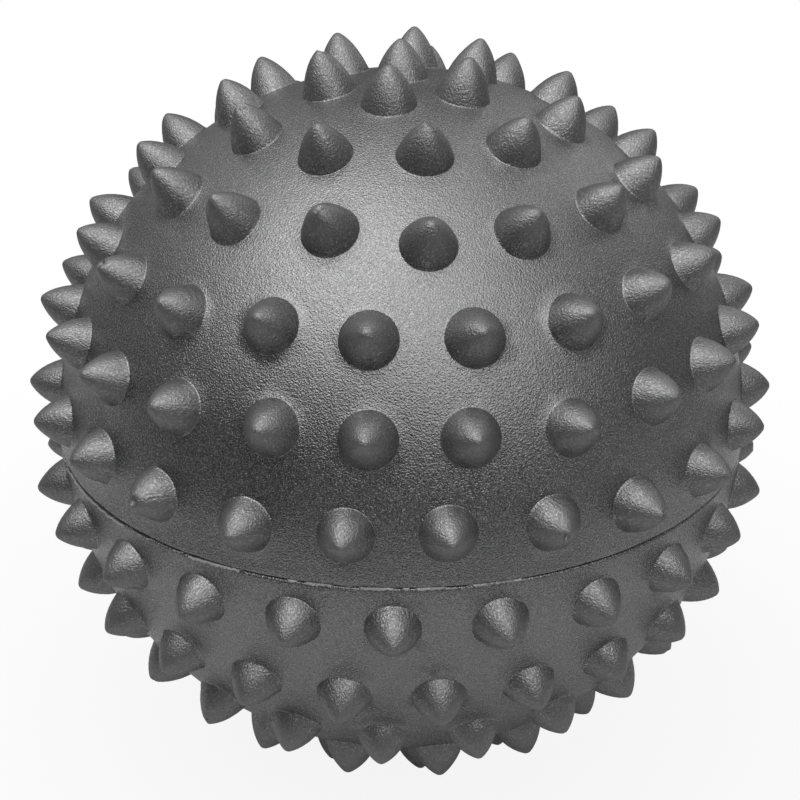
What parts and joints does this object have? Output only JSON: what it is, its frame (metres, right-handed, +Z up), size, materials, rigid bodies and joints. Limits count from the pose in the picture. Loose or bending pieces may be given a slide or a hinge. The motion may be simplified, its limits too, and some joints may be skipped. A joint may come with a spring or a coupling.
{
  "type": "sensory ball",
  "caption": "Hollow soft ball covered in rows of blunt spikes, moulded as halves joined at a level seam, with a pull-out needle plug for its air.",
  "frame": {"origin": "centre of the ball", "axes": "+Z up through the upper pole, square to the seam; -Y towards the viewer of the picture"},
  "size_m": [0.0992, 0.0992, 0.1],
  "materials": {
    "shell": "satin, finely blasted",
    "bead": "ragged weld flash",
    "seat": "matte",
    "plug": "satin"
  },
  "bodies": {
    "ball": {"upper_half": "shell", "lower_half": "shell", "seam_bead": "bead", "valve_seat": "seat"},
    "plug": {"valve_plug": "plug"}
  },
  "joints": [
    {"name": "plug_pull", "type": "slide", "parent": "ball", "child": "plug", "axis": [-0.5445, 0.7536, -0.3681], "range_m": [0, 0.013]}
  ]
}
